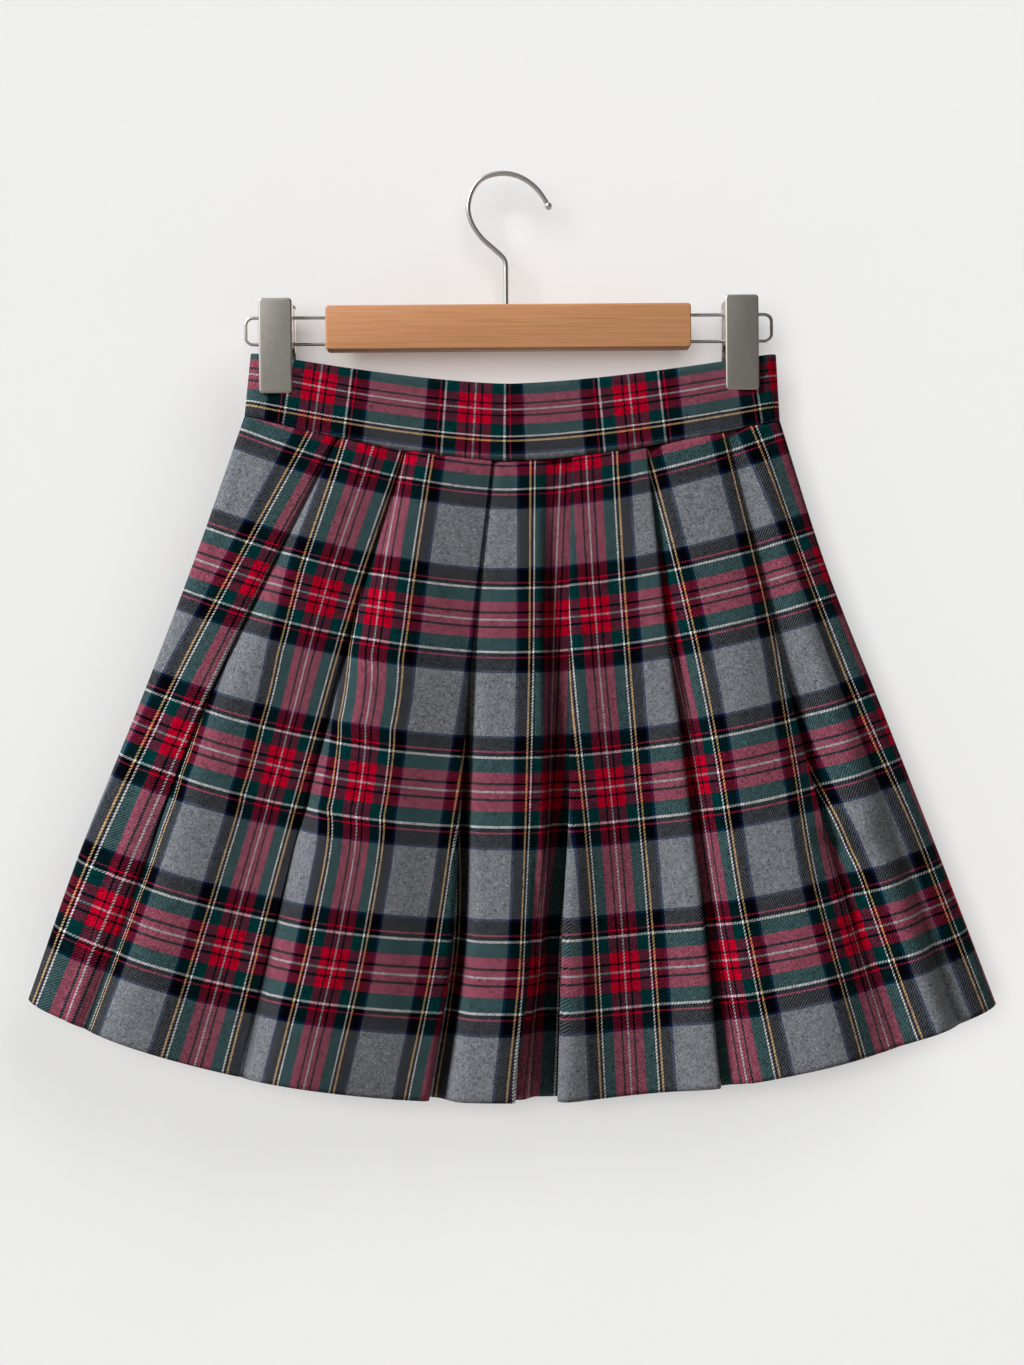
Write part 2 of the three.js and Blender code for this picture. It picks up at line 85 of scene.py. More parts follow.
# Each pleat, left to right. edge: where the fold shows; lap, turn and step: how far, by how
# many degrees and how deep the cloth doubles back; warp: where in the sett its edge lies, in
# repeats; hidden: how much of the sett it swallows; stay: how far past the edge the cloth
# below stays down.
frontPleats = [
    {"opens": 1, "edge": [-111, -158, -201, -237, -272], "lap": [18, 16, 9, 2, 3],
     "turn": [180, 180, 172, 50, 14], "step": [2.4, 5.5, 6, 2.4, 0.5], "stay": [1, 1, 0, 0, 0],
     "warp": [-0.037, 0, 0.022, 0.06, 0.09], "hidden": [0.736, 0.461, 0.143, 0.02, 0]},
    {"opens": 1, "edge": [-67, -97, -122, -147, -171], "lap": [18, 18, 8, 3, 3],
     "turn": [180, 180, 180, 80, 22], "step": [2.4, 6, 7, 3.4, 1], "stay": [1, 1, 0, 0, 0],
     "warp": [1.215, 1.25, 1.283, 1.297, 1.297], "hidden": [0.76, 0.525, 0.245, 0.037, 0]},
    {"opens": 1, "edge": [-10, -21, -29, -35, -50], "lap": [18, 20, 17, 9, 5],
     "turn": [180, 180, 180, 180, 178], "step": [2.4, 2.8, 11, 17, 18], "stay": [1, 1, 1, 2, 3],
     "warp": [2.68, 2.70, 2.799, 2.911, 2.963], "hidden": [0.81, 0.66, 0.46, 0.27, 0.22]},
    {"opens": 1, "edge": [18, 18, 17, 14, 4.5], "lap": [0, 0, 0, 1, 3],
     "turn": [8, 8, 20, 58, 165], "step": [0.2, 0.2, 1.5, 7, 14], "stay": [0, 0, 0, 0, 4],
     "warp": [3.81, 3.82, 3.83, 3.838, 3.832], "hidden": [0, 0, 0, 0.02, 0.07]},
    {"opens": -1, "edge": [42, 40, 40, 35, 32], "lap": [18, 20, 17, 12, 6],
     "turn": [180, 180, 180, 180, 180], "step": [2.4, 10, 17, 23, 27], "stay": [1, 2, 4, 6, 8],
     "warp": [4.903, 4.814, 4.703, 4.539, 4.454], "hidden": [0.814, 0.706, 0.565, 0.342, 0.245]},
    {"opens": 1, "edge": [89, 100, 113, 125, 135], "lap": [16, 18, 12, 8, 4],
     "turn": [180, 180, 180, 180, 175], "step": [2.4, 8, 11, 12, 11], "stay": [1, 1, 2, 2, 2],
     "warp": [5.439, 5.498, 5.569, 5.61, 5.632], "hidden": [0.776, 0.525, 0.335, 0.245, 0.164]},
    {"opens": 1, "edge": [139.5, 163.5, 188, 213, 242], "lap": [16, 18, 12, 3, 3],
     "turn": [180, 180, 174, 60, 14], "step": [2.4, 5, 9, 7, 2], "stay": [1, 1, 2, 1, 0],
     "warp": [6.785, 6.79, 6.89, 7.0, 7.0], "hidden": [0.817, 0.61, 0.357, 0.02, 0]},
]
backPleats = [
    {"opens": -1, "edge": [-112, -140, -176, -210, -236], "lap": [17, 15, 9, 3, 3],
     "turn": [180, 180, 172, 75, 32], "step": [2.4, 4, 6, 6, 4], "stay": [1, 2, 2, 1, 0],
     "warp": [0.6, 0.5, 0.3, 0.1, 0.05], "hidden": [0.78, 0.5, 0.3, 0.04, 0]},
    {"opens": -1, "edge": [-58, -74, -92, -111, -130], "lap": [17, 17, 13, 8, 4],
     "turn": [180, 180, 180, 178, 160], "step": [2.4, 4, 6, 7, 7], "stay": [1, 2, 3, 3, 2],
     "warp": [2.1, 1.95, 1.75, 1.6, 1.45], "hidden": [0.8, 0.6, 0.4, 0.22, 0.1]},
    {"opens": 1, "edge": [-22, -27, -32, -36, -42], "lap": [17, 17, 14, 9, 6],
     "turn": [180, 180, 180, 180, 178], "step": [2.4, 5, 7, 9, 10], "stay": [1, 2, 3, 4, 4],
     "warp": [2.62, 2.6, 2.58, 2.56, 2.54], "hidden": [0.78, 0.62, 0.45, 0.3, 0.22]},
    {"opens": -1, "edge": [27, 31, 35, 41, 46], "lap": [17, 17, 14, 10, 6],
     "turn": [180, 180, 180, 180, 178], "step": [2.4, 5, 7, 9, 10], "stay": [1, 2, 3, 4, 4],
     "warp": [4.74, 4.55, 4.3, 4.1, 4.0], "hidden": [0.8, 0.64, 0.46, 0.3, 0.2]},
    {"opens": 1, "edge": [70, 87, 104, 119, 137], "lap": [16, 16, 11, 6, 3],
     "turn": [180, 180, 180, 172, 120], "step": [2.4, 4, 6, 7, 7], "stay": [1, 2, 3, 3, 2],
     "warp": [5.25, 5.2, 5.12, 5.05, 5.0], "hidden": [0.76, 0.56, 0.36, 0.16, 0.06]},
    {"opens": 1, "edge": [117, 144, 175, 209, 238], "lap": [16, 15, 10, 3, 3],
     "turn": [180, 180, 174, 80, 34], "step": [2.4, 4, 6, 6, 4], "stay": [1, 2, 2, 1, 0],
     "warp": [6.55, 6.45, 6.35, 6.3, 6.25], "hidden": [0.76, 0.52, 0.3, 0.04, 0]},
]
# Each panel between: how far it bows out, where the bow's crown lies (under 1 is left of the
# middle), how wide it rises from the recess at its left and right edge (at the waist and at
# the hem), and how much of it lies sunk.
panelColumns = ("bowWaist", "bowHem", "crown", "rise", "sunk")
frontPanels = table(panelColumns, [
    (0.6, 3, 0.7, [14, 40, 14, 40], 0),
    (2.6, 11, 0.55, [8, 22, 14, 44], 0),
    (2.8, 20.5, 0.5, [8, 24, 14, 44], 0),
    (0.3, 4, 1.6, [4, 18, 14, 20], 0.3),
    (0.1, 0, 1, [10, 12, 14, 14], 1),
    (0.3, -15, 1, [14, 40, 14, 40], 0),
    (0.8, 10, 1.8, [13, 24, 14, 40], 0),
    (0.6, 15, 1.5, [16, 40, 14, 40], 0),
])
backPanels = table(panelColumns, [
    (0.3, 3, 1, [14, 50, 14, 50], 0),
    (0.3, 3.5, 1, [14, 50, 14, 50], 0),
    (0.4, 4, 1, [12, 44, 12, 44], 0),
    (0.2, 2, 1, [14, 40, 14, 40], 0.9),
])
backPanels += backPanels[2::-1]  # the right side as the left
# Where in the sett the side seams lie, and how far down the weft the cloth has come at each
# station, at the middle and at the sides.
frontSett = {
    "left": [-0.721, -0.572, -0.424, -0.364, -0.327],
    "right": [8.0, 8.007, 8.0, 7.985, 7.97],
}
backSett = {
    "left": [-0.9, -0.78, -0.78, -0.77, -0.84],
    "right": [8.02, 7.74, 7.49, 7.3, 7.25],
}
weftDown = {
    "middle": [0.013, 0.995, 1.928, 2.80, 3.666],
    "side": [0.115, 1.02, 1.92, 2.775, 3.64],
}

# Creases laid over the pleats, as soft ridges (+) and troughs (-): where each starts and
# ends, how wide it is and how far it stands.
creaseColumns = ("start", "end", "width", "height")
frontCreases = table(creaseColumns, [
    ((-176, -300), (-222, -470), 15, 1.4),
    ((-212, -440), (-246, -560), 15, 1.3),
    ((-236, -420), (-268, -560), 13, -1.2),
    ((-265, -470), (-292, -545), 13, 1.1),
    ((-152, -380), (-196, -575), 16, -1.6),
    ((-128, -330), (-158, -580), 14, 1.3),
    ((-92, -300), (-104, -585), 16, -1.6),
    ((-66, -330), (-78, -590), 12, 1.5),
    ((62, -330), (78, -596), 14, 1.2),
    ((88, -360), (104, -592), 13, -1.4),
    ((142, -300), (158, -470), 9, 1.6),
    ((158, -430), (178, -585), 14, -1.8),
    ((196, -440), (214, -580), 13, 1.6),
    ((198, -428), (226, -441), 6, -3.2),
    ((206, -412), (234, -428), 7, 2.6),
    ((238, -400), (262, -440), 10, 2.4),
    ((232, -418), (250, -446), 8, -2.0),
    ((226, -300), (266, -430), 13, 1.6),
    ((262, -450), (286, -545), 13, -1.4),
])
backCreases = table(creaseColumns, [
    ((-190, -320), (-250, -540), 15, 2.2),
    ((-232, -400), (-276, -550), 12, -2.0),
    ((-140, -330), (-176, -570), 14, -2.2),
    ((-84, -300), (-96, -585), 13, 1.8),
    ((2, -360), (6, -590), 12, 1.6),
    ((66, -340), (84, -588), 13, -1.8),
    ((128, -300), (160, -575), 14, 1.8),
    ((186, -360), (214, -560), 12, -2.0),
    ((226, -350), (268, -545), 14, 2.2),
])
creaseEnds = {"beyond": 0.35, "fade": 0.6, "power": 1.5}  # shares of a crease's length
softRipple = {"fine": 19, "coarse": 58, "fineHeight": 0.22, "coarseHeight": 0.9, "taller": 2}


def mixed(a, b, share):
    return a + (b - a) * share


def eased(q):
    return 0.0 if q >= 1 else math.cos(q * math.pi / 2) ** 2


def along(values, t):
    # smooth, and never past the two stations it lies between
    last = len(stations) - 2
    i = min(last, max(0, int(t * (last + 1))))
    span = stations[i + 1] - stations[i]

    def slope(k):
        if k <= 0:
            return (values[1] - values[0]) / span
        if k > last:
            return (values[last + 1] - values[last]) / span
        before = (values[k] - values[k - 1]) / span
        after = (values[k + 1] - values[k]) / span
        return 0 if before * after <= 0 else 2 * before * after / (before + after)

    s = (t - stations[i]) / span
    rest = 1 - s
    return (values[i] * (1 + 2 * s) * rest ** 2 + values[i + 1] * (3 - 2 * s) * s ** 2
            + span * (slope(i) * s * rest ** 2 - slope(i + 1) * rest * s ** 2))


def crossHeight(name, x, left, right):
    line = crossLines[name]
    side = min(1, x / left) if x < 0 else min(1, x / right)
    rise = line["riseLeft"] if x < 0 else line["riseRight"]
    return line["middle"] + rise * side ** line["power"]


def standOff(depth, x, t):
    left = along(skirtForm["left"], t)
    right = along(skirtForm["right"], t)
    share = min(1, abs(x - (left + right) / 2) / ((right - left) / 2))
    beside = along(skirtForm["sideDepth"], t)
    return beside + (along(depth, t) - beside) * (1 - share ** skirtForm["squareness"])


def pleatSection(pleat, t):
    turn = math.radians(along(pleat["turn"], t))
    lap = along(pleat["lap"], t)
    step = along(pleat["step"], t)
    radius = max(skirtForm["leastFold"],
                 (step - lap * math.sin(turn)) / (2 * (1 - math.cos(turn))))
    start = -radius * math.sin(min(turn, math.pi / 2))
    points = []
    for i in range(skirtForm["turnSteps"] + 1):
        a = turn * i / skirtForm["turnSteps"]
        points.append((start + radius * math.sin(a), radius * (1 - math.cos(a))))
    endX, endY = points[-1]
    for i in range(1, skirtForm["lapSteps"]):
        s = i / skirtForm["lapSteps"]
        points.append((endX + s * lap * math.cos(turn), endY + s * lap * math.sin(turn)))
    nextX = endX + lap * math.cos(turn)
    nextY = endY + lap * math.sin(turn)
    for i in range(skirtForm["turnSteps"] + 1):
        a = turn - turn * i / skirtForm["turnSteps"]
        points.append((nextX + radius * (math.sin(turn) - math.sin(a)),
                       nextY + radius * (math.cos(a) - math.cos(turn))))
    edge = along(pleat["edge"], t)
    placed = [(edge + pleat["opens"] * x, y) for x, y in points]
    return placed if pleat["opens"] > 0 else placed[::-1]


def panelSett(pleats, sett, k, t):
    # the sett at a panel's two visible edges: x and repeats at each
    if k == 0:
        first = (along(skirtForm["left"], t), along(sett["left"], t))
    else:
        pleat = pleats[k - 1]
        emerging = along(pleat["hidden"], t) if pleat["opens"] > 0 else 0
        first = (along(pleat["edge"], t), along(pleat["warp"], t) + emerging)
    if k == len(pleats):
        last = (along(skirtForm["right"], t), along(sett["right"], t))
    else:
        pleat = pleats[k]
        sinking = along(pleat["hidden"], t) if pleat["opens"] < 0 else 0
        last = (along(pleat["edge"], t), along(pleat["warp"], t) - sinking)
    return first, last


def lengthsAlong(points):
    lengths = [0.0]
    for a, b in zip(points, points[1:]):
        lengths.append(lengths[-1] + math.dist(a, b))
    return lengths


def lengthAt(points, lengths, x):
    for i in range(1, len(points)):
        if points[i][0] >= x or i == len(points) - 1:
            share = (x - points[i - 1][0]) / (points[i][0] - points[i - 1][0])
            return mixed(lengths[i - 1], lengths[i], share)


def halfSection(pleats, panels, sett, depth, t):
    # one row across: x, how far it stands off, and the warp in repeats
    wall = skirtForm["thickness"]
    gap = skirtForm["seamGap"]
    left = along(skirtForm["left"], t) + wall / 2
    right = along(skirtForm["right"], t) - wall / 2
    roundness = along(skirtForm["sideRound"], t)
    folds = [pleatSection(pleat, t) for pleat in pleats]
    steps = skirtForm["sideSteps"]

    def sideCurve(x, inward, s):
        a = s * math.pi / 2
        off = standOff(depth, x + inward * roundness, t)
        return (x + inward * roundness * (1 - math.cos(a)),
                gap / 2 + (off - gap / 2) * math.sin(a))

    flats = []  # each panel's own points and the warp at each
    for k, panel in enumerate(panels):
        start = (left + roundness, 0) if k == 0 else folds[k - 1][-1]
        end = (right - roundness, 0) if k == len(panels) - 1 else folds[k][0]
        width = end[0] - start[0]
        # the stretch that lies hidden beneath the fold on either side stays down
        first, last = 0, 1
        if k > 0 and pleats[k - 1]["opens"] > 0:
            beside = pleats[k - 1]
            first = max(0, along(beside["edge"], t) + along(beside["stay"], t) - start[0]) / width
        if k < len(folds) and pleats[k]["opens"] < 0:
            beside = pleats[k]
            last = 1 - max(0, end[0] - along(beside["edge"], t) + along(beside["stay"], t)) / width
        room = last - first
        mostRise = skirtForm["mostRise"]
        riseStart = min(mostRise, mixed(*panel["rise"][:2], t) / (width * room))
        riseEnd = min(mostRise, mixed(*panel["rise"][2:], t) / (width * room))
        floor = mixed(start[1], end[1], 0.5 if panel["sunk"] < 1 else 1) * panel["sunk"]
        bow = mixed(panel["bowWaist"], panel["bowHem"], t ** skirtForm["bowGrowth"])
        points = []
        if k == 0:
            points = [sideCurve(left, 1, i / steps) for i in range(steps)]
        for i in range(skirtForm["panelSteps"] + 1):
            s = i / skirtForm["panelSteps"]
            seen = min(1, max(0, (s - first) / room))
            behind = (floor + (start[1] - floor) * eased(seen / riseStart)
                      + (end[1] - floor) * eased((1 - seen) / riseEnd))
            x = mixed(start[0], end[0], s)
            bulge = 0
            if 0 < seen < 1:
                bulge = math.sin(math.pi * seen ** panel["crown"]) ** skirtForm["bowRound"]
            points.append((x, standOff(depth, x, t) - behind + bow * bulge))
        if k == len(panels) - 1:
            points += [sideCurve(right, -1, i / steps) for i in range(steps - 1, -1, -1)]
        lengths = lengthsAlong(points)
        (x0, u0), (x1, u1) = panelSett(pleats, sett, k, t)
        from0 = 0 if k == 0 else lengthAt(points, lengths, x0)
        from1 = lengths[-1] if k == len(panels) - 1 else lengthAt(points, lengths, x1)
        rate = (u1 - u0) / (from1 - from0)
        flats.append((points, [u0 + (length - from0) * rate for length in lengths]))

    line = []
    for k, (points, warps) in enumerate(flats):
        for i in range(0 if k == 0 else 1, len(points) - (k < len(folds))):
            line.append((*points[i], warps[i]))
        if k < len(folds):
            lengths = lengthsAlong(folds[k])
            for (x, behind), length in zip(folds[k], lengths):
                warp = mixed(warps[-1], flats[k + 1][1][0], length / lengths[-1])
                line.append((x, standOff(depth, x, t) - behind, warp))
    return line


def creaseHeight(creases, x, z):
    total = 0.0
    beyond, fade = creaseEnds["beyond"], creaseEnds["fade"]
    for crease in creases:
        x0, z0 = crease["start"]
        x1, z1 = crease["end"]
        dx, dz = x1 - x0, z1 - z0
        length = math.hypot(dx, dz)
        s = ((x - x0) * dx + (z - z0) * dz) / length ** 2
        if -beyond < s < 1 + beyond:
            across = ((x - x0) * dz - (z - z0) * dx) / length / crease["width"]
            taper = (min(1, max(0, (s + beyond) / fade))
                     * min(1, max(0, (1 + beyond - s) / fade)))
            total += crease["height"] * math.exp(-across * across) * taper ** creaseEnds["power"]
    return total


def rippleHeight(x, z, seed):
    def swell(size):
        return noise.noise(Vector((x / size, z / size / softRipple["taller"], seed)))

    return (softRipple["fineHeight"] * swell(softRipple["fine"])
            + softRipple["coarseHeight"] * swell(softRipple["coarse"]))


def clothMesh(name, rows, warps, wefts, facing, thickness):
    # a grid of points in mm becomes a thin sheet, with the sett as its UV map
    columns = len(rows[0])
    mesh = bpy.data.meshes.new(name)
    points = [(x * mm, y * mm, z * mm) for row in rows for x, y, z in row]
    faces = []
    for r in range(len(rows) - 1):
        for c in range(columns - 1):
            a = r * columns + c
            quad = (a + columns, a + columns + 1, a + 1, a)
            faces.append(quad if facing < 0 else quad[::-1])
    mesh.from_pydata(points, [], faces)
    layer = mesh.uv_layers.new(name="sett")
    flatWarps = [u for row in warps for u in row]
    flatWefts = [v for row in wefts for v in row]
    for loop in mesh.loops:
        layer.data[loop.index].uv = (flatWarps[loop.vertex_index], flatWefts[loop.vertex_index])
    piece = bpy.data.objects.new(name, mesh)
    bpy.context.collection.objects.link(piece)
    solidify = piece.modifiers.new("thickness", "SOLIDIFY")
    solidify.thickness = thickness * mm
    solidify.offset = 0
    solidify.use_even_offset = False
    applyModifiers(piece)
    piece.data.shade_smooth()
    return piece


def selectOnly(*pieces):
    bpy.ops.object.select_all(action="DESELECT")
    for piece in pieces:
        piece.select_set(True)
        bpy.context.view_layer.objects.active = pieces[0]


def applyModifiers(piece):
    selectOnly(piece)
    for modifier in list(piece.modifiers):
        bpy.ops.object.modifier_apply(modifier=modifier.name)
    piece.select_set(False)


def makeSkirtHalf(name, pleats, panels, sett, depth, creases, facing):
    form = skirtForm
    rows, warps, wefts = [], [], []
    for r in range(form["rows"]):
        t = r / (form["rows"] - 1)
        left = along(form["left"], t)
        right = along(form["right"], t)
        row, warp, weft = [], [], []
        soft = min(1, t / form["sewnFlat"]) ** 1.5
        for x, off, u in halfSection(pleats, panels, sett, form[depth], t):
            top = crossHeight("waistSeam", x, left, right) - form["seamGap"] / 2
            z = mixed(top, crossHeight("hem", x, left, right), t)
            side = min(x - left, right - x) / form["seamHold"]
            hold = max(0, min(1, side)) * soft  # the seams stay where they are
            off += hold * (creaseHeight(creases, x, z)
                           + rippleHeight(x, z, form["rippleSeed"] * facing))
            forward = off - standOff(form[depth], x, t)
            forward = max(forward, form["hemDrop"] * forward)
            z += form["hemLift"] * t ** 3 * hold * forward
            row.append((x, facing * off, z))
            warp.append(u)
            share = min(1, abs(x / (left if x < 0 else right))) ** 2
            weft.append(mixed(along(weftDown["middle"], t), along(weftDown["side"], t), share))
        rows.append(row)
        warps.append(warp)
        wefts.append(weft)
    return clothMesh(name, rows, warps, wefts, facing, form["thickness"])


bandForm = {
    "wall": 3, "slack": 0.2, "proud": 0.8, "overCloth": 0.6,
    "topLeft": -167, "topRight": 174.5,
    "columns": 140, "rows": 13, "sideSteps": 8,
    "warpRepeat": 89, "weftRepeat": 100.1, "weftPivot": -21, "lean": 0.72,
    "ripple": 0.35, "rippleAcross": 1.4, "rippleDown": 40, "rippleSeed": 9.1,
}


def makeBandHalf(name, depth, facing):
    form = bandForm
    rows, warps, wefts = [], [], []
    roundness = skirtForm["sideRound"][0]
    setOff = form["proud"] + form["overCloth"] - form["wall"] / 2
    gap = skirtForm["seamGap"] / 2
    for r in range(form["rows"]):
        t = r / (form["rows"] - 1)
        left = mixed(form["topLeft"], skirtForm["left"][0], t) + form["wall"] / 2
        right = mixed(form["topRight"], skirtForm["right"][0], t) - form["wall"] / 2
        row, warp, weft = [], [], []
        for i in range(form["columns"] + 1):
            near = min(i, form["columns"] - i)
            inward = 1 if i * 2 < form["columns"] else -1
            if near < form["sideSteps"]:
                side = left if inward > 0 else right
                a = near / form["sideSteps"] * math.pi / 2
                off = standOff(skirtForm[depth], side + inward * roundness, 0) + setOff - gap
                x = side + inward * roundness * (1 - math.cos(a))
                off = gap + off * math.sin(a)
            else:
                s = (i - form["sideSteps"]) / (form["columns"] - 2 * form["sideSteps"])
                x = mixed(left + roundness, right - roundness, s)
                off = standOff(skirtForm[depth], x, 0) + setOff
                off += form["ripple"] * rippleHeight(
                    x * form["rippleAcross"], form["rippleDown"] * t, form["rippleSeed"] * facing)
            top = crossHeight("bandTop", x, left, right)
            seam = crossHeight("waistSeam", x, left, right) + gap
            z = mixed(top, seam, t)
            row.append((x, facing * off, z))
            pivot = crossHeight("bandPivot", x, left, right)
            slope = (crossHeight("bandPivot", x + 1, left, right) - pivot) * form["lean"]
            warp.append((pivot - z) / form["warpRepeat"])
            weft.append((x + slope * (z - pivot) - form["weftPivot"]) / form["weftRepeat"])
        rows.append(row)
        warps.append(warp)
        wefts.append(weft)
    return clothMesh(name, rows, warps, wefts, facing, form["wall"] - form["slack"])


def linear(red, green, blue):
    # a colour as it looks, in 0 to 255, as Blender wants it
    def one(value):
        value /= 255
        return value / 12.92 if value <= 0.04045 else ((value + 0.055) / 1.055) ** 2.4
    return (one(red), one(green), one(blue), 1)


yarn = {
    "red": linear(184, 2, 36),
    "black": linear(0, 0, 2),
    "green": linear(0, 50, 50),
    "white": linear(255, 253, 246),
    "pivotWhite": linear(214, 194, 196),
    "yellow": linear(236, 168, 74),
    "charcoal": linear(2, 3, 8),
    "navy": linear(16, 29, 72),
    "grey": linear(122, 124, 128),
}
# The half sett from its middle line outwards: the yarn, and where it ends in repeats.
warpSett = [("pivotWhite", 0.0055), ("red", 0.036), ("black", 0.05), ("red", 0.107),
            ("green", 0.182), ("black", 0.186), ("white", 0.1985), ("black", 0.2175),
            ("yellow", 0.2305), ("charcoal", 0.302), ("navy", 0.322), ("grey", 0.5)]
weftSett = [("pivotWhite", 0.0055), ("red", 0.036), ("black", 0.05), ("red", 0.107),
            ("green", 0.182), ("black", 0.185), ("white", 0.198), ("black", 0.219),
            ("red", 0.229), ("charcoal", 0.302), ("navy", 0.315), ("grey", 0.5)]
weave = {
    "warpThreads": 190, "weftThreads": 216,  # in a repeat
    "wander": 0.0016, "wanderScale": 45, "warpSeed": 1.3, "weftSeed": 7.9,
    "relief": 0.23, "lineRelief": 0.25, "brightFrom": 0.25, "brightGain": 6,
    # the next three darken and dull mixed cells: painted shade between crossing threads, plus a
    # duller colour where unlike yarns cross
    "shadedMixing": 2.7, "dulling": 0.34, "crossingShade": 0.1,
    "nap": 2.4, "napScale": 760, "napTwist": 1.2, "cloud": 0.4, "cloudScale": 210,
    "rib": 0.5, "bump": 0.45, "bumpDepth": 0.3,
    "roughness": 0.95, "sheen": 0.015, "sheenRoughness": 0.5, "specular": 0.02,
}


def newMaterial(name):
    material = bpy.data.materials.new(name)
    material.use_nodes = True
    nodes = material.node_tree.nodes
    links = material.node_tree.links
    return material, nodes, links, nodes["Principled BSDF"]


def mathNode(nodes, links, operation, first, second=None, third=None):
    node = nodes.new("ShaderNodeMath")
    node.operation = operation
    for slot, value in enumerate((first, second, third)):
        if value is None:
            continue
        if isinstance(value, (int, float)):
            node.inputs[slot].default_value = value
        else:
            links.new(value, node.inputs[slot])
    return node.outputs[0]


def objectPlace(nodes):
    return nodes.new("ShaderNodeTexCoord").outputs["Object"]


def noiseTexture(nodes, links, place, scale, detail=2, twist=0):
    texture = nodes.new("ShaderNodeTexNoise")
    texture.inputs["Scale"].default_value = scale
    texture.inputs["Detail"].default_value = detail
    texture.inputs["Distortion"].default_value = twist
    links.new(place, texture.inputs["Vector"])
    return texture.outputs[0]


def settRamp(nodes, links, coordinate, sett):
    # whole repeats are added to stay above zero, and half of one to fold at the pivot
    shifted = mathNode(nodes, links, "ADD", coordinate, 100.5)
    part = mathNode(nodes, links, "FRACT", shifted)
    middle = mathNode(nodes, links, "SUBTRACT", part, 0.5)
    fromPivot = mathNode(nodes, links, "ABSOLUTE", middle)
    half = mathNode(nodes, links, "MULTIPLY", fromPivot, 2)
    ramp = nodes.new("ShaderNodeValToRGB")
    ramp.color_ramp.interpolation = "CONSTANT"
    stops = ramp.color_ramp.elements
    start = 0
    for index, (name, end) in enumerate(sett):
        stop = stops[0] if index == 0 else stops.new(start * 2)
        stop.position = start * 2
        stop.color = yarn[name]
        start = end
    if len(stops) > len(sett):
        stops.remove(stops[len(stops) - 1])
    links.new(half, ramp.inputs[0])
    return ramp.outputs[0]


